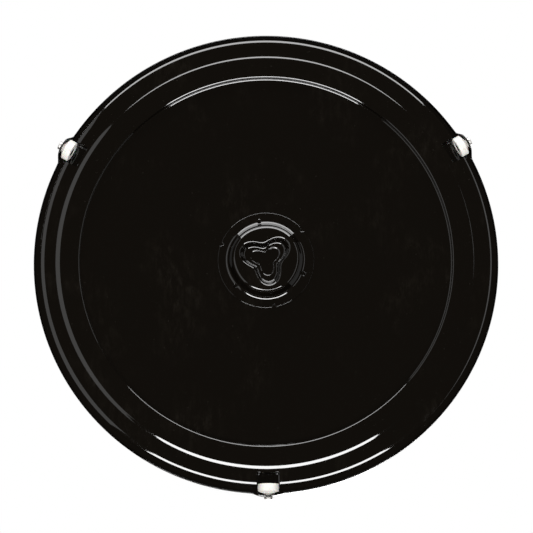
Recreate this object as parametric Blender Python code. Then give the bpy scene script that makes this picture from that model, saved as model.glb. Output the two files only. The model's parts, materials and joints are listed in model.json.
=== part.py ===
"""Enamelled steel oven turntable tray with a trefoil drive hub and three rim rollers.

The tray stands as it does in use: food side up, on its three rollers, with the
floor at z = 0 and the drive axis along +Z through the origin.
"""

import math

import bmesh
import bpy
from mathutils import Matrix, Vector

MM = 0.001

# Tray pressing, radii and heights of its underside
SHEET = 0.9 * MM                 # enamelled sheet, steel and glass coat together
RIM_RADIUS = 195.0 * MM          # outside of the skirt
FLOOR_RADIUS = 154.4 * MM        # raised middle floor
STEP_RUN = 2.4 * MM              # slope between the floor and the low ring
RING_EDGE = 171.4 * MM           # outer edge of the low ring
WALL_RUN = 5.6 * MM              # shallow step up to the ledge
LEDGE_EDGE = 185.8 * MM
LIP_RUN = 4.6 * MM               # steep wall from the ledge up to the rim
FLOOR_HEIGHT = 12.0 * MM
RING_HEIGHT = 6.0 * MM
LEDGE_HEIGHT = 7.2 * MM
RIM_HEIGHT = 19.0 * MM
SKIRT_BOTTOM = 15.6 * MM
SKIRT_BEND = 1.8 * MM            # inside radius of the bend from rim to skirt

# Rollers, measured along their own radial axles from the drive axis
ROLLER_COUNT = 3
FIRST_ROLLER = math.radians(30.0)
ROLLER_RADIUS = 8.7 * MM
ROLLER_INNER = 187.3 * MM
ROLLER_TREAD = 6.0 * MM
ROLLER_NOSE = 2.0 * MM           # tapered nose towards the skirt
ROLLER_NOSE_RADIUS = 4.6 * MM
ROLLER_ROUND = 0.8 * MM
COUNTERBORE_RADIUS = 4.1 * MM
COUNTERBORE_DEPTH = 2.3 * MM
AXLE_HEIGHT = ROLLER_RADIUS

# Axle pins with a sunk inner head, a slip washer and a domed push-on nut
PIN_RADIUS = 2.0 * MM
PIN_HEAD_RADIUS = 3.7 * MM
PIN_HEAD = 1.0 * MM
WASHER_RADIUS = 4.0 * MM
WASHER_THICKNESS = 0.7 * MM
NUT_RADIUS = 3.5 * MM
NUT_HEIGHT = 2.3 * MM
NUT_CROWN = 0.7 * MM
GAP = 0.3 * MM                   # free space between neighbouring pieces

# Pressed housing over each roller
BULGE_RADIUS = 28.0 * MM
SEAT_GAP = 0.5 * MM               # between the flat washer and the curved wall
BULGE_HALF_WIDTH = 13.4 * MM
POCKET_HALF_WIDTH = 9.2 * MM
POCKET_INNER = 178.2 * MM
TAB_HALF_WIDTH = 5.5 * MM
TAB_BOTTOM = 4.4 * MM

# Drive hub, a smaller pressing welded under the middle of the floor
HUB_RADIUS = 40.4 * MM
HUB_TURN = math.radians(20.5)
HUB_FOOT = 35.4 * MM
HUB_CREST = 24.6 * MM
HUB_FLANGE_HEIGHT = FLOOR_HEIGHT - GAP - SHEET
HUB_FACE_HEIGHT = 1.9 * MM
SOCKET_FLOOR_HEIGHT = 7.9 * MM
SOCKET_MOUTH = (18.6 * MM, 4.4 * MM)     # mean radius and lobe height of the trefoil
SOCKET_BASE = (12.8 * MM, 3.7 * MM)
NOTCH_DEPTH = 2.6 * MM
NOTCH_HALF_WIDTH = 2.0 * MM
DRAIN_RADIUS = 1.7 * MM
DRAIN_CIRCLE = 33.2 * MM

PAN_STEPS = 72
HUB_STEPS = 48
ROUND_STEPS = 24
SMOOTH_ANGLE = math.radians(35.0)


def clear_scene():
    """Remove every object of the scene."""
    for old in list(bpy.data.objects):
        bpy.data.objects.remove(old, do_unlink=True)


def make_material(name, color, roughness, metallic):
    """Return a Principled material."""
    material = bpy.data.materials.new(name)
    material.use_nodes = True
    shader = material.node_tree.nodes["Principled BSDF"]
    shader.inputs["Base Color"].default_value = (*color, 1.0)
    shader.inputs["Roughness"].default_value = roughness
    shader.inputs["Metallic"].default_value = metallic
    return material


def finish_object(name, bm, material=None, smooth=True):
    """Turn a bmesh into a linked object whose faces point outwards."""
    bmesh.ops.recalc_face_normals(bm, faces=bm.faces)
    mesh = bpy.data.meshes.new(name)
    bm.to_mesh(mesh)
    bm.free()
    if smooth:
        mesh.shade_smooth()
        mesh.set_sharp_from_angle(angle=SMOOTH_ANGLE)
    if material:
        mesh.materials.append(material)
    made = bpy.data.objects.new(name, mesh)
    bpy.context.collection.objects.link(made)
    return made


def slope(start, end, steps):
    """Return points on an S-shaped slope between two (radius, height) points, both ends in."""
    points = []
    for i in range(steps + 1):
        t = i / steps
        blend = t * t * (3.0 - 2.0 * t)
        points.append((start[0] + (end[0] - start[0]) * t, start[1] + (end[1] - start[1]) * blend))
    return points


def sheet_outline(points, thickness):
    """Close an open (radius, height) line into the outline of a sheet lying on its left side."""
    offset = []
    for i, point in enumerate(points):
        before = Vector(points[max(i - 1, 0)])
        after = Vector(points[min(i + 1, len(points) - 1)])
        here = Vector(point)
        first = (here - before).normalized() if i > 0 else (after - here).normalized()
        second = (after - here).normalized() if i < len(points) - 1 else first
        along = (first + second).normalized()
        normal = Vector((-along.y, along.x))
        reach = thickness / max(0.5, normal.dot(Vector((-first.y, first.x))))
        offset.append(tuple(here + normal * reach))
    return list(points) + offset[::-1]


def revolve(name, outline, axis, steps, material=None):
    """Spin a closed (radius, along) outline once round an axis."""
    bm = bmesh.new()
    side = Vector((1.0, 0.0, 0.0)) if axis.z else Vector((0.0, 0.0, 1.0))
    verts = [bm.verts.new(side * radius + axis * along) for radius, along in outline]
    edges = []
    for i, vert in enumerate(verts):
        following = verts[(i + 1) % len(verts)]
        if outline[i][0] > 0.0 or outline[(i + 1) % len(verts)][0] > 0.0:
            edges.append(bm.edges.new((vert, following)))
    bmesh.ops.spin(bm, geom=verts + edges, axis=axis, cent=(0.0, 0.0, 0.0), angle=2.0 * math.pi,
                   steps=steps, use_merge=True)
    bmesh.ops.remove_doubles(bm, verts=bm.verts, dist=1e-6)
    bmesh.ops.dissolve_degenerate(bm, edges=bm.edges, dist=1e-7)
    return finish_object(name, bm, material)


def prism(bm, outline, lift, height, turn):
    """Add a closed prism to a bmesh: an outline in the plane of lift's two sides, pushed by height."""
    base = [bm.verts.new(turn @ Vector(point)) for point in outline]
    face = bm.faces.new(base)
    grown = bmesh.ops.extrude_face_region(bm, geom=[face])
    moved = [item for item in grown["geom"] if isinstance(item, bmesh.types.BMVert)]
    push = turn.to_3x3() @ (lift * height)
    bmesh.ops.translate(bm, vec=push, verts=moved)


def roller_angles():
    """Return the three bearings of the rollers round the drive axis."""
    return [FIRST_ROLLER + i * 2.0 * math.pi / ROLLER_COUNT for i in range(ROLLER_COUNT)]


def cutter(name, outline, lift, height, angles):
    """Make a hidden helper of equal prisms, one at each bearing."""
    bm = bmesh.new()
    for angle in angles:
        prism(bm, outline, lift, height, Matrix.Rotation(angle, 4, "Z"))
    made = finish_object(name, bm, smooth=False)
    made.hide_render = True
    made.display_type = "WIRE"
    return made


def add_boolean(target, helper, operation):
    """Put a Boolean modifier on an object."""
    boolean = target.modifiers.new(helper.name, "BOOLEAN")
    boolean.operation = operation
    boolean.object = helper
    boolean.solver = "EXACT"


def bulge_arc(radius, half_width, steps):
    """Return (x, y) points of the housing's rounded front, seen from above."""
    centre = BULGE_REACH - BULGE_RADIUS
    reach = math.asin(half_width / radius)
    turns = [reach * (2.0 * i / steps - 1.0) for i in range(steps + 1)]
    return [(centre + radius * math.cos(a), radius * math.sin(a)) for a in turns]


WASHER_START = ROLLER_INNER + ROLLER_TREAD + ROLLER_NOSE + GAP
BULGE_REACH = WASHER_START + WASHER_THICKNESS + SEAT_GAP + SHEET
NUT_START = BULGE_REACH + GAP


def make_pan(material):
    """Press the tray: stepped floor, ledge, rim, turned-down skirt and three roller housings."""
    step_end = FLOOR_RADIUS + STEP_RUN
    wall_end = RING_EDGE + WALL_RUN
    lip_end = LEDGE_EDGE + LIP_RUN
    inside = RIM_RADIUS - SHEET
    line = [(0.0, FLOOR_HEIGHT)]
    line += slope((FLOOR_RADIUS, FLOOR_HEIGHT), (step_end, RING_HEIGHT), 3)
    line += slope((RING_EDGE, RING_HEIGHT), (wall_end, LEDGE_HEIGHT), 4)
    line += slope((LEDGE_EDGE, LEDGE_HEIGHT), (lip_end, RIM_HEIGHT), 3)
    for i in range(4):
        turn = math.radians(90.0 - 30.0 * i)
        line.append((inside - SKIRT_BEND + SKIRT_BEND * math.cos(turn),
                     RIM_HEIGHT - SKIRT_BEND + SKIRT_BEND * math.sin(turn)))
    line.append((inside, SKIRT_BOTTOM))
    pan = revolve("turntable_pan", sheet_outline(line, SHEET), Vector((0.0, 0.0, 1.0)), PAN_STEPS,
                  material)

    angles = roller_angles()
    up = Vector((0.0, 0.0, 1.0))
    top = RIM_HEIGHT + SHEET
    wide = POCKET_HALF_WIDTH + SHEET
    roof_from = LEDGE_HEIGHT + 0.2 * MM
    back = POCKET_INNER - SHEET
    front = RIM_RADIUS - 2.0 * MM
    block = [(back, -wide, roof_from), (front, -wide, roof_from), (front, wide, roof_from),
             (back, wide, roof_from)]
    add_boolean(pan, cutter("housing_block", block, up, top - roof_from, angles), "UNION")

    rear = RIM_RADIUS - 3.0 * MM
    outer = [(x, y, TAB_BOTTOM) for x, y in bulge_arc(BULGE_RADIUS, BULGE_HALF_WIDTH, 16)]
    bulge = [(rear, -BULGE_HALF_WIDTH, TAB_BOTTOM)] + outer + [(rear, BULGE_HALF_WIDTH, TAB_BOTTOM)]
    add_boolean(pan, cutter("bulge_block", bulge, up, top - TAB_BOTTOM, angles), "UNION")

    side = BULGE_HALF_WIDTH - SHEET
    shoulder = RIM_RADIUS - 3.9 * MM
    inner = [(x, y, 0.0) for x, y in bulge_arc(BULGE_RADIUS - SHEET, side, 16)]
    pocket = [(POCKET_INNER, -POCKET_HALF_WIDTH, 0.0), (shoulder, -POCKET_HALF_WIDTH, 0.0),
              (shoulder, -side, 0.0)] + inner
    pocket += [(shoulder, side, 0.0), (shoulder, POCKET_HALF_WIDTH, 0.0),
               (POCKET_INNER, POCKET_HALF_WIDTH, 0.0)]
    add_boolean(pan, cutter("roller_pocket", pocket, up, RIM_HEIGHT, angles), "DIFFERENCE")

    behind = rear - 2.0 * MM
    beside = BULGE_HALF_WIDTH + SHEET
    brow = SKIRT_BOTTOM - 0.2 * MM
    left = slope((-BULGE_HALF_WIDTH, brow), (-TAB_HALF_WIDTH, TAB_BOTTOM), 6)
    edge = [(behind, -beside, 0.0), (behind, -beside, brow)]
    edge += [(behind, y, z) for y, z in left]
    edge += [(behind, -y, z) for y, z in left[::-1]]
    edge += [(behind, beside, brow), (behind, beside, 0.0)]
    out = Vector((1.0, 0.0, 0.0))
    add_boolean(pan, cutter("tab_trim", edge, out, 10.0 * MM, angles), "DIFFERENCE")

    hole = []
    for i in range(ROUND_STEPS):
        turn = 2.0 * math.pi * i / ROUND_STEPS
        reach = PIN_RADIUS + GAP
        hole.append((rear, reach * math.cos(turn), AXLE_HEIGHT + reach * math.sin(turn)))
    add_boolean(pan, cutter("pin_hole", hole, out, 10.0 * MM, angles), "DIFFERENCE")
    return pan


def trefoil(mean, lobe, bearing):
    """Return the radius of the three-lobed outline at a bearing."""
    return mean + lobe * math.cos(3.0 * (bearing - HUB_TURN))


def make_hub(material):
    """Press the drive hub: flange, round boss and a three-lobed socket that opens downwards."""
    rings = [((SOCKET_BASE[0] - 1.5 * MM, SOCKET_BASE[1] * 0.8), SOCKET_FLOOR_HEIGHT)]
    for t, z in slope((0.0, SOCKET_FLOOR_HEIGHT), (1.0, HUB_FACE_HEIGHT), 4):
        mean = SOCKET_BASE[0] + (SOCKET_MOUTH[0] - SOCKET_BASE[0]) * t
        lobe = SOCKET_BASE[1] + (SOCKET_MOUTH[1] - SOCKET_BASE[1]) * t
        rings.append(((mean, lobe), z))
    for r, z in slope((HUB_CREST, HUB_FACE_HEIGHT), (HUB_FOOT, HUB_FLANGE_HEIGHT), 3):
        rings.append(((r, 0.0), z))
    rings.append(((HUB_RADIUS, 0.0), HUB_FLANGE_HEIGHT))

    bm = bmesh.new()
    bearings = [2.0 * math.pi * j / HUB_STEPS for j in range(HUB_STEPS)]
    lower = []
    upper = []
    centre_low = bm.verts.new((0.0, 0.0, SOCKET_FLOOR_HEIGHT))
    centre_high = bm.verts.new((0.0, 0.0, SOCKET_FLOOR_HEIGHT + SHEET))
    for i in range(len(rings)):
        low = []
        high = []
        for a in bearings:
            line = [Vector((trefoil(mean, lobe, a), z)) for (mean, lobe), z in rings]
            here = line[i]
            along = (line[min(i + 1, len(line) - 1)] - line[max(i - 1, 0)]).normalized()
            normal = Vector((-along.y, along.x)) * SHEET
            if i in (0, len(rings) - 1):
                normal = Vector((0.0, SHEET))
            low.append(bm.verts.new((here.x * math.cos(a), here.x * math.sin(a), here.y)))
            r = here.x + normal.x
            high.append(bm.verts.new((r * math.cos(a), r * math.sin(a), here.y + normal.y)))
        lower.append(low)
        upper.append(high)
    for j in range(HUB_STEPS):
        k = (j + 1) % HUB_STEPS
        bm.faces.new((centre_low, lower[0][k], lower[0][j]))
        bm.faces.new((centre_high, upper[0][j], upper[0][k]))
        bm.faces.new((lower[-1][j], lower[-1][k], upper[-1][k], upper[-1][j]))
        for i in range(len(rings) - 1):
            bm.faces.new((lower[i][j], lower[i][k], lower[i + 1][k], lower[i + 1][j]))
            bm.faces.new((upper[i][k], upper[i][j], upper[i + 1][j], upper[i + 1][k]))
    hub = finish_object("drive_hub", bm, material)

    up = Vector((0.0, 0.0, 1.0))
    low = HUB_FLANGE_HEIGHT - 6.0 * MM
    rise = 9.0 * MM
    thirds = [HUB_TURN + i * 2.0 * math.pi / 3.0 for i in range(3)]
    wedge = [(HUB_RADIUS - NOTCH_DEPTH, 0.0, low), (HUB_RADIUS + NOTCH_DEPTH, -2.0 * NOTCH_HALF_WIDTH, low),
             (HUB_RADIUS + NOTCH_DEPTH, 2.0 * NOTCH_HALF_WIDTH, low)]
    add_boolean(hub, cutter("edge_notch", wedge, up, rise, thirds), "DIFFERENCE")
    drain = []
    for i in range(16):
        turn = 2.0 * math.pi * i / 16
        drain.append((DRAIN_CIRCLE + DRAIN_RADIUS * math.cos(turn), DRAIN_RADIUS * math.sin(turn), low))
    between = [angle + math.pi / 3.0 for angle in thirds]
    add_boolean(hub, cutter("drain_hole", drain, up, rise, between), "DIFFERENCE")
    return hub


def corner(centre, radius, start, end, steps):
    """Return (radius, along) points on a rounded corner between two angles in degrees."""
    points = []
    for i in range(steps + 1):
        turn = math.radians(start + (end - start) * i / steps)
        points.append((centre[0] + radius * math.cos(turn), centre[1] + radius * math.sin(turn)))
    return points


def roller_outline():
    """Return the roller's section; along is measured from the middle of the tread."""
    inner = -ROLLER_TREAD / 2.0
    outer = ROLLER_TREAD / 2.0
    bore = PIN_RADIUS + GAP
    line = [(COUNTERBORE_RADIUS, inner)]
    line += corner((ROLLER_RADIUS - ROLLER_ROUND, inner + ROLLER_ROUND), ROLLER_ROUND, -90.0, 0.0, 3)
    line += corner((ROLLER_RADIUS - 0.5 * MM, outer - 0.5 * MM), 0.5 * MM, 0.0, 50.0, 2)
    line += [(ROLLER_NOSE_RADIUS, outer + ROLLER_NOSE), (bore, outer + ROLLER_NOSE)]
    line += [(bore, inner + COUNTERBORE_DEPTH), (COUNTERBORE_RADIUS, inner + COUNTERBORE_DEPTH)]
    return line


def pin_outline():
    """Return the headed pin's section; along is measured from the middle of the tread."""
    middle = ROLLER_INNER + ROLLER_TREAD / 2.0
    shoulder = -ROLLER_TREAD / 2.0 + COUNTERBORE_DEPTH - GAP
    tip = NUT_START + NUT_HEIGHT - NUT_CROWN - GAP - middle
    soft = 0.25 * MM
    line = [(0.0, shoulder - PIN_HEAD), (PIN_HEAD_RADIUS - soft, shoulder - PIN_HEAD)]
    line += [(PIN_HEAD_RADIUS, shoulder - PIN_HEAD + soft), (PIN_HEAD_RADIUS, shoulder)]
    line += [(PIN_RADIUS, shoulder), (PIN_RADIUS, tip - soft), (PIN_RADIUS - soft, tip), (0.0, tip)]
    return line


def washer_outline():
    """Return the slip washer's section."""
    start = WASHER_START - ROLLER_INNER - ROLLER_TREAD / 2.0
    bore = PIN_RADIUS + GAP
    return [(bore, start), (WASHER_RADIUS, start), (WASHER_RADIUS, start + WASHER_THICKNESS),
            (bore, start + WASHER_THICKNESS)]


def nut_outline():
    """Return the section of the domed push-on nut, with the blind hole that holds the pin's end."""
    start = NUT_START - ROLLER_INNER - ROLLER_TREAD / 2.0
    top = start + NUT_HEIGHT
    bore = PIN_RADIUS + GAP
    line = [(bore, start), (NUT_RADIUS, start), (NUT_RADIUS, top - NUT_CROWN)]
    line += [(NUT_RADIUS * math.cos(math.radians(a)), top - NUT_CROWN + NUT_CROWN * math.sin(math.radians(a)))
             for a in (30.0, 60.0)]
    line += [(0.0, top), (0.0, top - NUT_CROWN), (bore, top - NUT_CROWN)]
    return line


def make_roller_sets(white, steel, slip):
    """Make the rollers with their pins, washers and nuts, each set on its own radial axle."""
    kinds = (("roller", roller_outline(), white), ("axle_pin", pin_outline(), steel),
             ("slip_washer", washer_outline(), slip), ("push_nut", nut_outline(), steel))
    out = Vector((1.0, 0.0, 0.0))
    middle = ROLLER_INNER + ROLLER_TREAD / 2.0
    for kind, outline, material in kinds:
        for number, angle in enumerate(roller_angles(), start=1):
            piece = revolve(f"{kind}_{number}", outline, out, ROUND_STEPS, material)
            piece.location = (middle * math.cos(angle), middle * math.sin(angle), AXLE_HEIGHT)
            piece.rotation_euler = (0.0, 0.0, angle)


def build_turntable():
    """Model the whole turntable."""
    clear_scene()
    enamel = make_material("black_enamel", (0.008, 0.007, 0.006), 0.08, 0.0)
    white = make_material("white_roller", (0.83, 0.82, 0.78), 0.45, 0.0)
    steel = make_material("bright_steel", (0.55, 0.54, 0.52), 0.3, 1.0)
    slip = make_material("pale_washer", (0.75, 0.74, 0.70), 0.5, 0.0)
    make_pan(enamel)
    make_hub(enamel)
    make_roller_sets(white, steel, slip)


build_turntable()
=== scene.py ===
"""Looks of an enamelled oven turntable: pressed tray, drive hub, rollers, pins, washers and nuts.

The tray stands food side up on its rollers. The camera looks up at its underside, where the drive hub
and the rollers are. Every size is worked out from the frame's nodes or held as a field of the class
that uses it, in metres.
"""

from __future__ import annotations

import json
import logging
import math
from dataclasses import dataclass, field
from enum import Enum

import bpy
import numpy as np
from mathutils import Matrix, Vector


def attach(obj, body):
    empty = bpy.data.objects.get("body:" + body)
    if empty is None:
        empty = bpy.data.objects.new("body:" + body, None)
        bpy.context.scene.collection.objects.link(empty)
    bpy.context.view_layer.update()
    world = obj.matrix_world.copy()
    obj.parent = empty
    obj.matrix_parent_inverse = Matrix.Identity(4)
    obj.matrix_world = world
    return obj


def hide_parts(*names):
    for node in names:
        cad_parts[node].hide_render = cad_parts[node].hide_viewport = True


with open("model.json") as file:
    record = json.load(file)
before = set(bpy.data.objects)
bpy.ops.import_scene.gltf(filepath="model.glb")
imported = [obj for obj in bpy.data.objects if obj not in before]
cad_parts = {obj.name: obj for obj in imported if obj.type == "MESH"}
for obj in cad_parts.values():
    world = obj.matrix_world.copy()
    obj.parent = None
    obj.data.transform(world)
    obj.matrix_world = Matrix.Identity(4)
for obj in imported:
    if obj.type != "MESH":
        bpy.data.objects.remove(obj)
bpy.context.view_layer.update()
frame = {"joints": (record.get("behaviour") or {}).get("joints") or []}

LOG = logging.getLogger("turntable")
MM = 0.001
TURN = 2.0 * math.pi
THIRD = TURN / 3.0
POLE = 1e-9
SMALLEST_FILLET = 0.2 * MM
NO_TRIANGLES = np.zeros((0, 3), int)

Array = np.ndarray


# ---------------------------------------------------------------- curves and meshes


def smoothstep(value: Array, low: float, high: float) -> Array:
    """Rise from 0 at low to 1 at high along 3t^2 - 2t^3.

    Args:
        value: Where to read the curve.
        low: Value that gives 0.
        high: Value that gives 1.

    Returns:
        The curve's height at each value.
    """
    t = np.clip((value - low) / (high - low), 0.0, 1.0)
    return t * t * (3.0 - 2.0 * t)


def filleted_line(corners: Array, radii: Array, arc_steps: tuple[int, ...],
                  run_steps: tuple[int, ...]) -> Array:
    """Round the corners of an open polyline with tangent arcs.

    An arc of radius r between two lines that meet at turning angle a starts r * tan(a / 2) before
    the corner and ends as far past it; its centre lies r to the side the line turns to.

    Args:
        corners: Points of the polyline, one (x, y) row each.
        radii: Arc radius at each inner corner, 0 where the line runs straight on.
        arc_steps: Steps along each corner's arc.
        run_steps: Steps along each straight run.

    Returns:
        Points along the rounded line.
    """
    ways = np.diff(corners, axis=0)
    ways /= np.linalg.norm(ways, axis=1)[:, None]
    points = [corners[:1]]
    last = corners[0]
    for i in range(1, len(corners) - 1):
        before, after = ways[i - 1], ways[i]
        bend = math.atan2(before[0] * after[1] - before[1] * after[0], float(before @ after))
        start = corners[i] - before * radii[i - 1] * math.tan(abs(bend) / 2.0)
        run = np.linspace(0.0, 1.0, run_steps[i - 1] + 1)[1:, None]
        points.append(last + (start - last) * run)
        last = start
        if radii[i - 1] > 0.0:
            spoke = math.copysign(radii[i - 1], bend) * np.array([before[1], -before[0]])
            turns = bend * np.linspace(0.0, 1.0, arc_steps[i - 1] + 1)[1:]
            arc = np.stack([spoke[0] * np.cos(turns) - spoke[1] * np.sin(turns),
                            spoke[0] * np.sin(turns) + spoke[1] * np.cos(turns)], axis=1)
            points.append(start - spoke + arc)
            last = points[-1][-1]
    run = np.linspace(0.0, 1.0, run_steps[len(corners) - 2] + 1)[1:, None]
    points.append(last + (corners[-1] - last) * run)
    return np.concatenate(points)


def offset_corners(corners: Array, distance: float) -> Array:
    """Move each corner of a polyline to the left, so that every run shifts by the same distance.

    Args:
        corners: Points of the polyline.
        distance: How far each run moves to its left.

    Returns:
        The moved corners: corner + mean normal * distance / cos(half the turning angle).
    """
    ways = np.diff(corners, axis=0)
    ways /= np.linalg.norm(ways, axis=1)[:, None]
    normals = np.stack([-ways[:, 1], ways[:, 0]], axis=1)
    first = np.vstack([normals[:1], normals])
    mean = first + np.vstack([normals, normals[-1:]])
    mean /= np.linalg.norm(mean, axis=1)[:, None]
    return corners + mean * (distance / (mean * first).sum(axis=1))[:, None]


def sheet_radii(corners: Array, radii: Array, lift: float) -> Array:
    """Return the fillet radii of a sheet's face, given those of the face that is drawn.

    A corner that turns left keeps its centre on the lifted side, so its radius shrinks by the lift;
    the others grow by it. A radius of 0 stays 0.

    Args:
        corners: Corners of the drawn face.
        radii: Fillet radius at each inner corner.
        lift: How far the other face lies to the left.

    Returns:
        The radii, none of them between 0 and the smallest fillet.
    """
    ways = np.diff(corners, axis=0)
    left = ways[:-1, 0] * ways[1:, 1] - ways[:-1, 1] * ways[1:, 0] > 0.0
    changed = np.where(left, np.maximum(radii - lift, SMALLEST_FILLET), radii + lift)
    return np.where(radii > 0.0, changed, 0.0)


def ring_faces(rows: int, columns: int) -> Array:
    """Return the quads of a grid of rows whose columns close into a ring.

    Args:
        rows: Number of rings.
        columns: Points round each ring.

    Returns:
        Four vertex numbers per face.
    """
    row, column = np.meshgrid(np.arange(rows - 1), np.arange(columns), indexing="ij")
    here = row * columns + column
    beside = row * columns + (column + 1) % columns
    return np.stack([here, beside, beside + columns, here + columns], axis=-1).reshape(-1, 4)


def mesh_object(name: str, points: Array, quads: Array, triangles: Array,
                material: bpy.types.Material | None, sharp_angle: float = 50.0) -> bpy.types.Object:
    """Put points and faces into a mesh object at the origin.

    Args:
        name: Name of the object and its mesh.
        points: One (x, y, z) row per vertex.
        quads: Four vertex numbers per row.
        triangles: Three vertex numbers per row.
        material: The finish, or None for a cutter.
        sharp_angle: Edges that turn more than this many degrees stay sharp.

    Returns:
        The linked object.
    """
    mesh = bpy.data.meshes.new(name)
    loops = np.concatenate([quads.ravel(), triangles.ravel()]).astype(np.int32)
    starts = np.concatenate([4 * np.arange(len(quads)), 4 * len(quads) + 3 * np.arange(len(triangles))])
    mesh.vertices.add(len(points))
    mesh.vertices.foreach_set("co", np.ascontiguousarray(points, np.float32).ravel())
    mesh.loops.add(len(loops))
    mesh.loops.foreach_set("vertex_index", loops)
    mesh.polygons.add(len(starts))
    mesh.polygons.foreach_set("loop_start", starts.astype(np.int32))
    mesh.update(calc_edges=True)
    mesh.shade_smooth()
    mesh.set_sharp_from_angle(angle=math.radians(sharp_angle))
    mesh.materials.append(material)
    made = bpy.data.objects.new(name, mesh)
    bpy.context.scene.collection.objects.link(made)
    return made


def closed_shell(name: str, rings: Array, material: bpy.types.Material) -> bpy.types.Object:
    """Close rings of points, running from one pole round the rim to the other, into a shell.

    Args:
        name: Name of the object.
        rings: Points as (ring, bearing, xyz). The first and the last ring are shrunk to poles.
        material: The finish.

    Returns:
        The linked object.
    """
    count, columns = rings.shape[:2]
    points = np.concatenate([rings[:1, 0], rings[1:-1].reshape(-1, 3), rings[-1:, 0]])
    column = np.arange(columns)
    following = (column + 1) % columns
    first = np.stack([np.zeros(columns, int), following + 1, column + 1], axis=1)
    base = 1 + (count - 3) * columns
    last = np.stack([np.full(columns, len(points) - 1), base + column, base + following], axis=1)
    quads = ring_faces(count - 2, columns) + 1
    return mesh_object(name, points, quads, np.concatenate([first, last]), material)


def prisms(name: str, outlines: Array, low: float, high: float) -> bpy.types.Object:
    """Stand a closed prism on each of several equal outlines.

    Args:
        name: Name of the object.
        outlines: Points as (prism, corner, xy), each outline counter-clockwise.
        low: Height of the lower ends.
        high: Height of the upper ends.

    Returns:
        The linked object.
    """
    count, sides = outlines.shape[:2]
    centre = outlines.mean(axis=1, keepdims=True)
    flat = np.concatenate([outlines, centre], axis=1)
    lower = np.concatenate([flat, np.full((count, sides + 1, 1), low)], axis=2)
    upper = np.concatenate([flat, np.full((count, sides + 1, 1), high)], axis=2)
    points = np.concatenate([lower, upper], axis=1).reshape(-1, 3)
    side = np.arange(sides)
    following = (side + 1) % sides
    top = sides + 1
    walls = np.stack([side, following, following + top, side + top], axis=1)
    hub_low, hub_high = np.full(sides, sides), np.full(sides, sides + top)
    ends = np.concatenate([np.stack([hub_low, following, side], axis=1),
                           np.stack([hub_high, side + top, following + top], axis=1)])
    start = (np.arange(count) * 2 * top)[:, None, None]
    return mesh_object(name, points, (start + walls).reshape(-1, 4), (start + ends).reshape(-1, 3), None)


def cut_away(piece: bpy.types.Object, cutter: bpy.types.Object) -> None:
    """Cut one closed mesh out of another for good, and remove the cutter.

    Args:
        piece: The mesh that is cut.
        cutter: The mesh that is taken away.
    """
    boolean = piece.modifiers.new("cut", "BOOLEAN")
    boolean.operation = "DIFFERENCE"
    boolean.solver = "EXACT"
    boolean.object = cutter
    evaluated = piece.evaluated_get(bpy.context.evaluated_depsgraph_get())
    mesh = bpy.data.meshes.new_from_object(evaluated)
    piece.modifiers.clear()
    piece.data = mesh
    mesh.name = piece.name
    bpy.data.objects.remove(cutter, do_unlink=True)


# ---------------------------------------------------------------- finishes


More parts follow.
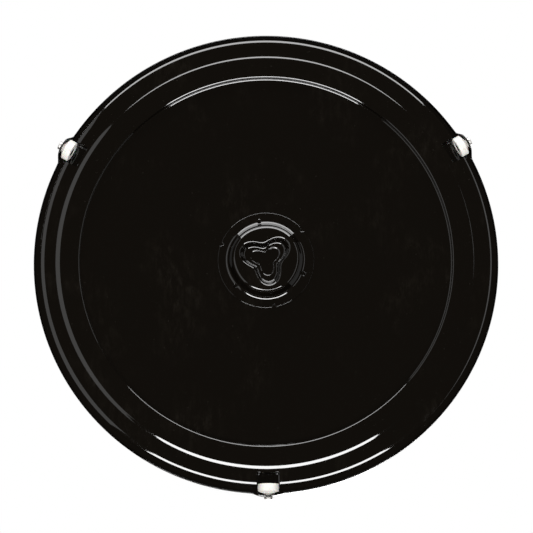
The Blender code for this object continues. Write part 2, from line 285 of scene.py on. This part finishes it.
class Graph:
    """A node material under construction, with a Principled shader in place."""

    def __init__(self, name: str) -> None:
        """Start a material.

        Args:
            name: Name of the material.
        """
        self.material = bpy.data.materials.new(name)
        self.material.use_nodes = True
        self.tree = self.material.node_tree
        self.shader = self.tree.nodes["Principled BSDF"]
        self.place = self.tree.nodes.new("ShaderNodeTexCoord").outputs["Object"]

    def set(self, **values: object) -> None:
        """Set plain values on the shader; an underscore in a socket's name stands for a space."""
        for socket, value in values.items():
            self.shader.inputs[socket.replace("_", " ")].default_value = value

    def noise(self, scale: float, detail: float = 2.0, rough: float = 0.5,
              stretch: tuple[float, float, float] = (1.0, 1.0, 1.0)) -> bpy.types.NodeSocket:
        """Add a noise pattern.

        Args:
            scale: Features per metre.
            detail: Octaves.
            rough: Share that each octave adds.
            stretch: Scale along x, y and z.

        Returns:
            The pattern's value, 0 to 1 with most of it near a half.
        """
        mapping = self.tree.nodes.new("ShaderNodeMapping")
        mapping.inputs["Scale"].default_value = stretch
        self.tree.links.new(self.place, mapping.inputs["Vector"])
        node = self.tree.nodes.new("ShaderNodeTexNoise")
        node.inputs["Scale"].default_value = scale
        node.inputs["Detail"].default_value = detail
        node.inputs["Roughness"].default_value = rough
        self.tree.links.new(mapping.outputs["Vector"], node.inputs["Vector"])
        return node.outputs["Fac"]

    def spread(self, value: bpy.types.NodeSocket, low: float, high: float, start: float,
               end: float) -> bpy.types.NodeSocket:
        """Map one range of a value onto another and hold it there.

        Args:
            value: The input.
            low: Input that gives start.
            high: Input that gives end.
            start: Output at low.
            end: Output at high.

        Returns:
            The mapped value.
        """
        node = self.tree.nodes.new("ShaderNodeMapRange")
        for socket, number in zip(("From Min", "From Max", "To Min", "To Max"), (low, high, start, end)):
            node.inputs[socket].default_value = number
        self.tree.links.new(value, node.inputs["Value"])
        return node.outputs["Result"]

    def product(self, first: bpy.types.NodeSocket, second: bpy.types.NodeSocket) -> bpy.types.NodeSocket:
        """Multiply two values."""
        node = self.tree.nodes.new("ShaderNodeMath")
        node.operation = "MULTIPLY"
        self.tree.links.new(first, node.inputs[0])
        self.tree.links.new(second, node.inputs[1])
        return node.outputs["Value"]

    def blend(self, amount: bpy.types.NodeSocket, first: bpy.types.NodeSocket | tuple,
              second: tuple[float, float, float]) -> bpy.types.NodeSocket:
        """Mix two colours.

        Args:
            amount: 0 for the first, 1 for the second.
            first: Red, green and blue, or a colour that is already mixed.
            second: Red, green and blue.

        Returns:
            The mixed colour.
        """
        node = self.tree.nodes.new("ShaderNodeMix")
        node.data_type = "RGBA"
        if isinstance(first, tuple):
            node.inputs["A"].default_value = (*first, 1.0)
        else:
            self.tree.links.new(first, node.inputs["A"])
        node.inputs["B"].default_value = (*second, 1.0)
        self.tree.links.new(amount, node.inputs["Factor"])
        return node.outputs["Result"]

    def feed(self, socket: str, value: bpy.types.NodeSocket) -> None:
        """Link a value to one of the shader's sockets."""
        self.tree.links.new(value, self.shader.inputs[socket])

    def emboss(self, height: bpy.types.NodeSocket, depth: float,
               under: bpy.types.NodeSocket | None = None) -> bpy.types.NodeSocket:
        """Add relief.

        Args:
            height: Pattern from 0 to 1.
            depth: Height of the relief in metres.
            under: Normal of a coarser relief beneath it.

        Returns:
            The normal that both give.
        """
        node = self.tree.nodes.new("ShaderNodeBump")
        node.inputs["Distance"].default_value = depth
        self.tree.links.new(height, node.inputs["Height"])
        if under:
            self.tree.links.new(under, node.inputs["Normal"])
        self.feed("Normal", node.outputs["Normal"])
        return node.outputs["Normal"]


@dataclass(frozen=True)
class Enamel:
    """Black glass enamel: deep, glossy, a little wavy, with dried smears and fine dust."""

    slot: str = "enamel"
    glaze: tuple[float, float, float] = (0.0016, 0.0012, 0.0008)
    smear: tuple[float, float, float] = (0.0055, 0.0045, 0.0032)
    dust: tuple[float, float, float] = (0.050, 0.046, 0.038)

    def make(self) -> bpy.types.Material:
        """Build the material."""
        graph = Graph("black_enamel")
        graph.set(IOR=1.6, Coat_Weight=0.5, Coat_Roughness=0.03, Coat_IOR=1.6)
        patch = graph.spread(graph.noise(19.0, 3.0, 0.6), 0.52, 0.72, 0.0, 1.0)
        streak = graph.spread(graph.noise(210.0, 5.0, 0.7, (1.0, 0.35, 1.0)), 0.46, 0.66, 0.0, 1.0)
        smear = graph.product(patch, streak)
        speck = graph.spread(graph.noise(900.0, 2.0, 0.5), 0.745, 0.80, 0.0, 1.0)
        smeared = graph.blend(smear, self.glaze, self.smear)
        graph.feed("Base Color", graph.blend(speck, smeared, self.dust))
        graph.feed("Roughness", graph.spread(smear, 0.0, 1.0, 0.045, 0.22))
        ripple = graph.emboss(graph.noise(38.0, 1.0), 0.00022)
        graph.emboss(graph.noise(260.0, 2.0), 0.000012, ripple)
        return graph.material


@dataclass(frozen=True)
class Ceramic:
    """Warm white roller stuff: smooth, faintly mottled, greyed where it runs."""

    slot: str = "roller"
    clean: tuple[float, float, float] = (0.86, 0.85, 0.81)
    worn: tuple[float, float, float] = (0.66, 0.64, 0.58)

    def make(self) -> bpy.types.Material:
        """Build the material."""
        graph = Graph("white_roller")
        graph.set(IOR=1.5, Subsurface_Weight=0.08, Subsurface_Scale=0.001)
        stain = graph.spread(graph.noise(420.0, 4.0, 0.65), 0.50, 0.74, 0.0, 0.8)
        graph.feed("Base Color", graph.blend(stain, self.clean, self.worn))
        graph.feed("Roughness", graph.spread(graph.noise(900.0, 3.0), 0.3, 0.7, 0.30, 0.46))
        graph.emboss(graph.noise(1800.0, 3.0), 0.00003)
        return graph.material


@dataclass(frozen=True)
class SlipPlastic:
    """Pale washer plastic, matt and slightly stained."""

    slot: str = "washer"
    clean: tuple[float, float, float] = (0.70, 0.68, 0.63)
    worn: tuple[float, float, float] = (0.45, 0.42, 0.37)

    def make(self) -> bpy.types.Material:
        """Build the material."""
        graph = Graph("pale_washer")
        stain = graph.spread(graph.noise(600.0, 4.0, 0.6), 0.48, 0.75, 0.0, 1.0)
        graph.feed("Base Color", graph.blend(stain, self.clean, self.worn))
        graph.feed("Roughness", graph.spread(graph.noise(1400.0, 3.0), 0.3, 0.7, 0.42, 0.62))
        graph.emboss(graph.noise(2400.0, 2.0), 0.00002)
        return graph.material


class SteelKind(Enum):
    """The two steels: slot, bright and dull colour, and roughness where bright and where dull."""

    # The pin's colours are near black: dark steel, and also painted shade for the inside of the roller's
    # counterbore, where the pin sits.
    PIN = ("pin", (0.018, 0.017, 0.016), (0.011, 0.010, 0.010), 0.35, 0.55)
    NUT = ("nut", (0.90, 0.89, 0.87), (0.62, 0.61, 0.59), 0.38, 0.58)


@dataclass(frozen=True)
class Steel:
    """Plain turned or stamped steel with fine scratches and dull patches; the pin's near-black colour is
    partly painted shade.
    """

    kind: SteelKind

    @property
    def slot(self) -> str:
        """Material slot of this steel."""
        return self.kind.value[0]

    def make(self) -> bpy.types.Material:
        """Build the material."""
        _, bright, dull, smooth, rough = self.kind.value
        graph = Graph(f"{self.slot}_steel")
        graph.set(Metallic=1.0)
        patch = graph.spread(graph.noise(520.0, 4.0, 0.6), 0.45, 0.70, 0.0, 1.0)
        graph.feed("Base Color", graph.blend(patch, bright, dull))
        graph.feed("Roughness", graph.spread(graph.noise(1500.0, 4.0, 0.7), 0.3, 0.7, smooth, rough))
        graph.emboss(graph.noise(2600.0, 3.0, 0.6, (1.0, 1.0, 0.2)), 0.00002)
        return graph.material


# ---------------------------------------------------------------- the parts


@dataclass
class Axle:
    """One roller's axle: where it is and which way it points."""

    number: int
    origin: Array
    bearing: float

    @property
    def out(self) -> Array:
        """Unit vector outwards along the axle."""
        return np.array([math.cos(self.bearing), math.sin(self.bearing), 0.0])

    @property
    def across(self) -> Array:
        """Unit vector level and square to the axle."""
        return np.array([-math.sin(self.bearing), math.cos(self.bearing), 0.0])


def read_axles() -> list[Axle]:
    """Return the rollers' axles from the frame's joints, in the order of their numbers."""
    axles = []
    for joint in frame["joints"]:
        number = int(joint["child"].split("_")[1])
        origin = np.array(joint["pos_m"], float)
        axles.append(Axle(number, origin, math.atan2(origin[1], origin[0])))
    return sorted(axles, key=lambda axle: axle.number)


def install(piece: bpy.types.Object, body: str, node: str) -> None:
    """Let a piece ride its body and stand for its CAD node.

    Args:
        piece: The finished piece.
        body: Body it moves with.
        node: CAD node it stands for.
    """
    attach(piece, body)
    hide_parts(node)
    LOG.info("%s: %d faces, stands for %s on %s", piece.name, len(piece.data.polygons), node, body)


def turned(name: str, outline: Array, axle: Axle, material: bpy.types.Material,
           steps: int = 72) -> bpy.types.Object:
    """Turn an outline once round a roller's axle.

    A point at (radius, along) goes to the axle's origin + along * out + radius * (across * cos t
    + up * sin t) as t runs once round.

    Args:
        name: Name of the object.
        outline: Rows of (radius, along); closed, or from one pole to the other.
        axle: The axle it turns on.
        material: The finish.
        steps: Steps round.

    Returns:
        The linked object.
    """
    turn = TURN * np.arange(steps) / steps
    level = outline[:, :1] * np.cos(turn)
    rise = outline[:, :1] * np.sin(turn)
    middle = axle.origin + outline[:, 1:] * axle.out
    up = np.array([0.0, 0.0, 1.0])
    points = middle[:, None, :] + level[..., None] * axle.across + rise[..., None] * up
    if outline[0, 0] < POLE:
        return closed_shell(name, points, material)
    looped = ring_faces(len(outline) + 1, steps) % (len(outline) * steps)
    return mesh_object(name, points.reshape(-1, 3), looped, NO_TRIANGLES, material)


@dataclass
class TrayPressing:
    """The stepped round tray with its turned-down skirt and three roller housings.

    The section is a filleted line on the underside, as (radius, height), and the same line one sheet
    higher on the food side. It turns once round the drive axis, and the housings reshape it.

    stations are the columns' distances to the side of a roller at the grid radius, and open_steps
    the columns from there to halfway between two rollers. parallel_offsets and parallel_radii are
    the offsets and radii over which the columns turn from parallel to radial. bulge_offsets are the
    offsets over which the bulge dies out, and bulge_limit is where it isn't worked out any more.
    """

    axles: list[Axle]
    finish: Enamel
    sheet: float = 0.9 * MM
    corners: Array = field(default_factory=lambda: MM * np.array([
        (0.0, 12.0), (155.1, 12.0), (155.6, 11.73), (156.1, 11.73), (156.3, 6.35), (156.95, 6.0),
        (172.6, 6.0), (175.4, 7.2), (180.2, 7.2), (186.5, 7.2),
        (188.9, 8.5), (189.0, 19.0), (194.1, 19.0), (194.1, 15.6)]))
    radii: Array = field(default_factory=lambda: MM * np.array([
        0.15, 0.15, 0.15, 0.15, 0.2, 5.2, 8.6, 0.0, 10.0, 0.3, 0.0, 0.35]))
    runs: tuple[int, ...] = (3, 1, 1, 2, 1, 3, 1, 10, 4, 1, 7, 2, 4)
    arc_steps: tuple[int, ...] = (3, 3, 3, 3, 3, 6, 12, 0, 8, 5, 0, 5)
    grid_radius: float = 190.0 * MM
    stations: Array = field(default_factory=lambda: MM * np.array([
        0.0, 1.2, 2.4, 3.6, 4.8, 6.0, 7.0, 7.9, 8.5, 8.9, 9.1, 9.25, 9.4, 9.6, 9.85, 10.05, 10.2, 10.35,
        10.6, 11.0, 11.6, 12.3, 13.0, 13.7, 14.5, 15.6, 17.0]))
    open_steps: int = 36
    roof: float = 19.0 * MM
    pocket_half_width: float = 9.2 * MM
    pocket_start: float = 178.2 * MM
    soft: float = 0.35 * MM
    bulge_radius: float = 28.0 * MM
    bulge_reach: float = 197.7 * MM
    rim_radius: float = 195.0 * MM
    bulge_from: float = 189.6 * MM
    skirt_bottom: float = 15.6 * MM
    skirt_top: float = 18.6 * MM
    tab_bottom: float = 4.4 * MM
    tab_half_width: float = 5.5 * MM
    brow_half_width: float = 13.4 * MM
    smallest_swept_radius: float = 0.1
    parallel_offsets: tuple[float, float] = (0.09, 0.26)
    parallel_radii: tuple[float, float] = (0.115, 0.165)
    skirt_width: float = 2.7 * MM
    bulge_limit: float = 0.12
    bulge_offsets: tuple[float, float] = (0.075, 0.11)
    bulge_blend: float = 0.5 * MM
    foot_drop: float = 0.3 * MM
    foot_shoulder_drop: float = 0.08 * MM

    def bearings(self) -> tuple[Array, Array]:
        """Return the columns' offsets from their nearest roller and those rollers' bearings."""
        near = np.arcsin(self.stations / self.grid_radius)
        half = np.concatenate([near, np.linspace(near[-1], THIRD / 2.0, self.open_steps + 1)[1:]])
        third = np.concatenate([-half[:0:-1], half[:-1]])
        bearings = sorted(axle.bearing % TURN for axle in self.axles)
        return np.tile(third, 3), np.repeat(bearings, len(third))

    def section(self, lift: float) -> Array:
        """Return the filleted section, lifted towards the food side.

        Args:
            lift: 0 for the underside, the sheet's thickness for the food side.

        Returns:
            Points as (radius, height), from the middle to the foot of the skirt.
        """
        corners = offset_corners(self.corners, lift)
        corners[0, 0] = 0.0
        corners[-1, 1] = self.corners[-1, 1]
        radii = sheet_radii(self.corners, self.radii, lift)
        return filleted_line(corners, radii, self.arc_steps, self.runs)

    def side(self, lift: float) -> Array:
        """Sweep one side of the sheet round and press the housings into it.

        Near a roller the columns run parallel to its axle: a column that is s to the side at the
        grid radius keeps that s at every radius near the rim. The pocket lifts the sheet to its roof
        where s is inside the pocket's width and x, the distance along the axle, is past its back
        wall. The bulge moves the rim out to a circle of the bulge radius, and the skirt's foot
        drops to the tab's foot towards the middle of the housing.

        Args:
            lift: 0 for the underside, the sheet's thickness for the food side.

        Returns:
            Points as (ring, bearing, xyz).
        """
        line = self.section(lift)
        offset, bearing = self.bearings()
        radius, height = (np.broadcast_to(column[:, None], (len(line), len(offset))) for column in line.T)
        swept = np.maximum(radius, self.smallest_swept_radius)
        parallel = np.arcsin(np.clip(self.grid_radius * np.sin(offset) / swept, -1.0, 1.0))
        share = (1.0 - smoothstep(np.abs(offset), *self.parallel_offsets)) * smoothstep(
            radius, *self.parallel_radii)
        delta = offset + share * (parallel - offset)

        aside = np.abs(radius * np.sin(delta))
        along = radius * np.cos(delta)
        edge = self.pocket_half_width + lift
        inside = 1.0 - smoothstep(aside, edge - self.soft, edge + self.soft)
        past = smoothstep(along, self.pocket_start - lift - self.soft, self.pocket_start - lift + self.soft)
        on_skirt = radius > self.rim_radius - self.skirt_width
        pocket = np.where(on_skirt, 0.0, inside * past)
        height = height + (self.roof + lift - height) * pocket

        centre = self.bulge_reach - self.bulge_radius
        reach = np.maximum(self.bulge_radius ** 2 - (centre * np.sin(delta)) ** 2, 0.0)
        swell = centre * np.cos(delta) + np.sqrt(reach) - self.rim_radius
        swell = 0.5 * (swell + np.sqrt(swell ** 2 + self.bulge_blend ** 2))
        swell = np.where(np.abs(delta) < self.bulge_limit, swell, 0.0)
        swell = swell * (1.0 - smoothstep(np.abs(delta), *self.bulge_offsets))
        grown = radius + swell * smoothstep(radius, self.bulge_from, self.rim_radius - self.sheet)

        drop = (self.skirt_bottom - self.tab_bottom) * (
            1.0 - smoothstep(aside, self.tab_half_width, self.brow_half_width))
        down = np.clip((self.skirt_top - height) / (self.skirt_top - self.skirt_bottom), 0.0, 1.0)
        height = height - np.where(on_skirt, drop * down, 0.0)
        place = bearing + delta
        return np.stack([grown * np.cos(place), grown * np.sin(place), height], axis=-1)

    def build(self) -> bpy.types.Object:
        """Make the tray's closed shell: the underside, the skirt's rounded foot and the food side."""
        under = self.side(0.0)
        food = self.side(self.sheet)
        foot = 0.5 * (under[-1:] + food[-1:])
        foot[..., 2] -= self.foot_drop
        shoulders = 0.5 * (np.stack([under[-1], food[-1]]) + foot)
        shoulders[..., 2] -= self.foot_shoulder_drop
        rings = np.concatenate([under, shoulders[:1], foot, shoulders[1:], food[::-1]])
        return closed_shell("pressed_tray", rings, self.finish.make())

    def dress(self) -> None:
        """Build the tray and put it in place."""
        install(self.build(), "tray", "turntable_pan")


@dataclass
class DriveHub:
    """The pressed boss with a three-lobed socket, welded under the middle of the tray.

    The section is a filleted line of (mean radius, height). The radius on a bearing is the mean
    plus the lobe height there times cos(3 * (bearing - turn)); the lobe height fades from the
    socket's mouth to the round boss. The notches and drains are cut from cut_below under the
    flange to cut_above over it.
    """

    finish: Enamel
    turn: float = math.radians(20.5)
    sheet: float = 0.9 * MM
    corners: Array = field(default_factory=lambda: MM * np.array([
        (0.0, 8.35), (9.7, 8.35), (10.5, 7.9), (14.6, 7.9), (17.9, 1.9), (27.2, 1.9), (31.8, 10.8),
        (40.4, 10.8), (40.4, 11.25)]))
    radii: Array = field(default_factory=lambda: MM * np.array([1.0, 1.0, 2.6, 2.6, 4.0, 4.2, 0.42]))
    runs: tuple[int, ...] = (5, 2, 3, 3, 4, 4, 4, 1)
    arc_steps: tuple[int, ...] = (8, 8, 12, 12, 12, 12, 6)
    lobe_means: Array = field(default_factory=lambda: MM * np.array([
        0.0, 6.0, 9.6, 13.8, 19.0, 24.0, 26.4, 31.0, 34.0]))
    lobe_heights: Array = field(default_factory=lambda: MM * np.array([
        0.0, 2.4, 3.2, 4.3, 5.0, 2.0, 0.7, 0.2, 0.0]))
    columns: int = 288
    notch_depth: float = 2.6 * MM
    notch_half_width: float = 2.0 * MM
    drain_radius: float = 1.7 * MM
    drain_circle: float = 33.2 * MM
    drain_sides: int = 28
    cut_below: float = 6.0 * MM
    cut_above: float = 3.0 * MM

    def side(self, lift: float) -> Array:
        """Sweep one side of the pressing round.

        Args:
            lift: 0 for the underside, the sheet's thickness for the upper side.

        Returns:
            Points as (ring, bearing, xyz).
        """
        keep = len(self.corners) - (1 if lift else 0)
        corners = offset_corners(self.corners[:keep], lift)
        corners[0, 0] = 0.0
        radii = sheet_radii(self.corners[:keep], self.radii[:keep - 2], lift)
        line = filleted_line(corners, radii, self.arc_steps, self.runs)
        lobe = np.interp(line[:, 0], self.lobe_means, self.lobe_heights)
        bearing = TURN * np.arange(self.columns) / self.columns
        radius = line[:, :1] + lobe[:, None] * np.cos(3.0 * (bearing - self.turn))
        height = np.broadcast_to(line[:, 1:], radius.shape)
        return np.stack([radius * np.cos(bearing), radius * np.sin(bearing), height], axis=-1)

    def openings(self) -> tuple[Array, Array]:
        """Return the outlines of the edge notches and of the drain holes, as (opening, corner, xy)."""
        edge = self.corners[-1, 0]
        out, wide = edge + self.notch_depth, 2.0 * self.notch_half_width
        notch = np.array([(edge - self.notch_depth, 0.0), (out, -wide), (out, wide)])
        t = TURN * np.arange(self.drain_sides) / self.drain_sides
        drain = np.stack([self.drain_circle + self.drain_radius * np.cos(t),
                          self.drain_radius * np.sin(t)], axis=1)
        outlines = []
        for outline, start in ((notch, self.turn), (drain, self.turn + THIRD / 2.0)):
            angle = start + THIRD * np.arange(3)
            spin = np.array([[np.cos(angle), np.sin(angle)], [-np.sin(angle), np.cos(angle)]])
            outlines.append(np.einsum("kj,jin->nki", outline, spin))
        return outlines[0], outlines[1]

    def build(self) -> bpy.types.Object:
        """Make the hub's closed shell and cut its notches and drain holes."""
        hub = closed_shell("pressed_hub", np.concatenate([self.side(0.0), self.side(self.sheet)[::-1]]),
                           self.finish.make())
        level = self.corners[-2, 1]
        for outlines in self.openings():
            cut_away(hub, prisms("opening", outlines, level - self.cut_below, level + self.cut_above))
        return hub

    def dress(self) -> None:
        """Build the hub and put it in place."""
        install(self.build(), "tray", "drive_hub")


@dataclass
class RollerSet:
    """A roller with its headed pin, slip washer and domed push-on nut, all turned on one axle.

    Distances along the axle are measured outwards from the middle of the tread. seam is the step
    between an outline's last and first point, which the closing faces span.
    """

    axle: Axle
    roller_radius: float = 8.7 * MM
    tread: float = 6.0 * MM
    nose: float = 2.0 * MM
    nose_radius: float = 4.6 * MM
    bore: float = 2.3 * MM
    counterbore: float = 4.1 * MM
    counterbore_depth: float = 2.3 * MM
    pin_radius: float = 2.0 * MM
    head_radius: float = 3.7 * MM
    head: float = 1.8 * MM
    washer_radius: float = 4.0 * MM
    washer_start: float = 5.3 * MM
    washer_thickness: float = 0.7 * MM
    nut_radius: float = 3.5 * MM
    nut_start: float = 7.7 * MM
    nut_height: float = 2.3 * MM
    nut_crown: float = 0.7 * MM
    nut_wall: float = 0.35 * MM
    nut_crown_share: float = 0.62
    gap: float = 0.3 * MM
    seam: float = 0.05 * MM
    fillet_steps: int = 4

    def loop(self, corners: list[tuple[float, float]], radii: list[float]) -> Array:
        """Fillet an outline.

        Args:
            corners: Corners as (radius, along).
            radii: Fillet radius at each inner corner.

        Returns:
            The outline's points.
        """
        steps = (self.fillet_steps,) * len(radii)
        return filleted_line(np.array(corners), np.array(radii), steps, (1,) * (len(corners) - 1))

    def roller(self) -> Array:
        """Return the roller's section: counterbored inner face, tread, tapered nose and bore."""
        start, end = -self.tread / 2.0, self.tread / 2.0
        seat = start + self.counterbore_depth
        middle = 0.5 * (self.bore + self.nose_radius)
        return self.loop(
            [(middle, end + self.nose), (self.bore, end + self.nose), (self.bore, seat),
             (self.counterbore, seat), (self.counterbore, start),
             (self.roller_radius, start), (self.roller_radius, end),
             (self.nose_radius, end + self.nose), (middle + self.seam, end + self.nose)],
            [0.2 * MM, 0.15 * MM, 0.2 * MM, 0.25 * MM, 0.8 * MM, 0.7 * MM, 0.35 * MM])

    def pin(self) -> Array:
        """Return the pin's section: a flat head in the counterbore and a plain shank."""
        shoulder = -self.tread / 2.0 + self.counterbore_depth - self.gap
        tip = self.nut_start + self.nut_height - self.nut_crown - self.gap
        face = shoulder - self.head
        return self.loop(
            [(0.0, face), (self.head_radius, face), (self.head_radius, shoulder),
             (self.pin_radius, shoulder), (self.pin_radius, tip), (0.0, tip)],
            [0.3 * MM, 0.1 * MM, 0.1 * MM, 0.3 * MM])

    def washer(self) -> Array:
        """Return the slip washer's section."""
        start, end = self.washer_start, self.washer_start + self.washer_thickness
        middle = 0.5 * (self.bore + self.washer_radius)
        return self.loop(
            [(middle, end), (self.bore, end), (self.bore, start), (self.washer_radius, start),
             (self.washer_radius, end), (middle + self.seam, end)],
            [0.1 * MM, 0.1 * MM, 0.2 * MM, 0.2 * MM])

    def nut(self) -> Array:
        """Return the push-on nut's section: a domed cap with a blind hole for the pin's end."""
        start, top = self.nut_start, self.nut_start + self.nut_height
        lip = top - self.nut_crown
        return self.loop(
            [(0.0, lip), (self.bore, lip), (self.bore, start), (self.nut_radius, start),
             (self.nut_radius, lip + self.nut_wall), (self.nut_crown_share * self.nut_radius, top),
             (0.0, top)],
            [0.2 * MM, 0.1 * MM, 0.15 * MM, 0.5 * MM, 0.8 * MM])

    def dress(self, materials: dict[str, bpy.types.Material]) -> None:
        """Build the four pieces and put them in place.

        Args:
            materials: Finish of each slot.
        """
        number = self.axle.number
        kinds = (("rim_roller", "roller", "roller", self.roller(), f"roller_{number}_body"),
                 ("headed_pin", "axle_pin", "pin", self.pin(), "tray"),
                 ("thin_washer", "slip_washer", "washer", self.washer(), "tray"),
                 ("domed_nut", "push_nut", "nut", self.nut(), "tray"))
        for kind, node, slot, outline, body in kinds:
            outline = outline if outline[0, 0] < POLE else self.outward(outline)
            piece = turned(f"{kind}_{number}", outline, self.axle, materials[slot])
            install(piece, body, f"{node}_{number}")

    @staticmethod
    def outward(outline: Array) -> Array:
        """Order a closed outline so that its turned faces point outwards, counter-clockwise."""
        x, y = outline.T
        area = float(np.sum(x * np.roll(y, -1) - np.roll(x, -1) * y))
        return outline if area > 0.0 else outline[::-1]


# ---------------------------------------------------------------- the studio


@dataclass(frozen=True)
class Panel:
    """A rectangular softbox.

    Its place is its middle, its aim the point it faces, and its glow the radiance of its surface.
    """

    name: str
    place: tuple[float, float, float]
    aim: tuple[float, float, float]
    size: tuple[float, float]
    glow: float
    tint: tuple[float, float, float] = (1.0, 1.0, 1.0)

    def hang(self) -> None:
        """Add the light; its power is pi * area * radiance."""
        lamp = bpy.data.lights.new(self.name, "AREA")
        lamp.shape = "RECTANGLE"
        lamp.size, lamp.size_y = self.size
        lamp.energy = math.pi * self.size[0] * self.size[1] * self.glow
        lamp.color = self.tint
        made = bpy.data.objects.new(self.name, lamp)
        made.location = self.place
        way = Vector(self.aim) - Vector(self.place)
        made.rotation_euler = way.to_track_quat("-Z", "Y").to_euler()
        bpy.context.scene.collection.objects.link(made)


@dataclass
class Studio:
    """Pale floor, softboxes on both sides of it, plain background and the camera under the tray."""

    distance: float = 2.0
    tilt: float = math.radians(9.5)
    roll: float = math.radians(-0.6)
    target: tuple[float, float, float] = (-0.4 * MM, -5.7 * MM, 9.0 * MM)
    view_width: float = 0.4458
    sensor: float = 36.0
    floor_size: float = 6.0
    floor_drop: float = 0.2 * MM
    panels: tuple[Panel, ...] = (
        Panel("front_softbox", (0.0, -1.5, -2.25), (0.0, 0.0, -2.25), (2.42, 1.5), 12.4),
        Panel("back_softbox", (0.0, 1.5, -0.55), (0.0, 0.0, -0.55), (2.42, 1.0), 5.2),
        Panel("left_panel", (1.6, 0.3, -2.3), (0.0, 0.3, -2.3), (3.2, 2.6), 0.58),
        Panel("right_panel", (-1.6, 0.0, -0.95), (0.0, 0.0, -0.95), (2.4, 0.5), 0.75),
        Panel("top_softbox", (-0.5, -0.7, 1.9), (0.0, 0.0, 0.0), (1.6, 1.2), 7.0),
        Panel("top_fill", (1.3, 0.9, 1.5), (0.0, 0.0, 0.0), (1.2, 1.2), 2.5))

    def build_floor(self) -> None:
        """Lay a pale floor that is seen from above only and neither shades nor mirrors the tray."""
        half = self.floor_size / 2.0
        corners = np.array([(-half, -half, 0.0), (half, -half, 0.0), (half, half, 0.0), (-half, half, 0.0)])
        corners[:, 2] = -self.floor_drop
        material = bpy.data.materials.new("pale_floor")
        material.use_nodes = True
        tree = material.node_tree
        shader = tree.nodes["Principled BSDF"]
        shader.inputs["Base Color"].default_value = (0.86, 0.86, 0.85, 1.0)
        shader.inputs["Roughness"].default_value = 0.8
        clear = tree.nodes.new("ShaderNodeBsdfTransparent")
        choice = tree.nodes.new("ShaderNodeMixShader")
        facing = tree.nodes.new("ShaderNodeNewGeometry").outputs["Backfacing"]
        tree.links.new(facing, choice.inputs[0])
        tree.links.new(shader.outputs["BSDF"], choice.inputs[1])
        tree.links.new(clear.outputs["BSDF"], choice.inputs[2])
        tree.links.new(choice.outputs["Shader"], tree.nodes["Material Output"].inputs["Surface"])
        floor = mesh_object("studio_floor", corners, np.array([[0, 1, 2, 3]]), NO_TRIANGLES, material)
        floor.visible_shadow = False
        floor.visible_glossy = False
        floor.visible_diffuse = False

    def build_world(self) -> None:
        """Show plain white behind the tray and keep the room dark in its enamel."""
        world = bpy.data.worlds.new("plain_room")
        world.use_nodes = True
        bpy.context.scene.world = world
        tree = world.node_tree
        shader = tree.nodes["Background"]
        path = tree.nodes.new("ShaderNodeLightPath").outputs["Is Camera Ray"]
        mix = tree.nodes.new("ShaderNodeMix")
        mix.data_type = "RGBA"
        mix.inputs["A"].default_value = (0.048, 0.040, 0.032, 1.0)
        mix.inputs["B"].default_value = (1.0, 1.0, 1.0, 1.0)
        tree.links.new(path, mix.inputs["Factor"])
        tree.links.new(mix.outputs["Result"], shader.inputs["Color"])

    def build_camera(self) -> None:
        """Set the camera below the tray, on the near side, looking up at it."""
        back = Vector((0.0, -math.sin(self.tilt), -math.cos(self.tilt)))
        right = Vector((-1.0, 0.0, 0.0))
        up = back.cross(right)
        turn = Matrix((right, up, back)).transposed().to_4x4()
        camera = bpy.data.cameras.new("view_camera")
        camera.sensor_width = self.sensor
        camera.lens = self.sensor * self.distance / self.view_width
        camera.clip_end = 20.0
        made = bpy.data.objects.new("view_camera", camera)
        spin = Matrix.Rotation(self.roll, 4, "Z")
        made.matrix_world = Matrix.Translation(Vector(self.target) + back * self.distance) @ turn @ spin
        bpy.context.scene.collection.objects.link(made)
        bpy.context.scene.camera = made

    def dress(self) -> None:
        """Build the studio."""
        self.build_camera()
        self.build_floor()
        self.build_world()
        for panel in self.panels:
            panel.hang()
        bpy.context.scene.view_settings.view_transform = "Standard"


def main() -> None:
    """Build every piece and the studio."""
    logging.basicConfig(level=logging.INFO)
    axles = read_axles()
    Studio().dress()
    enamel = Enamel()
    TrayPressing(axles, enamel).dress()
    DriveHub(enamel).dress()
    finishes = (Ceramic(), SlipPlastic(), Steel(SteelKind.PIN), Steel(SteelKind.NUT))
    materials = {finish.slot: finish.make() for finish in finishes}
    for axle in axles:
        RollerSet(axle).dress(materials)


if __name__ == "__main__":
    main()
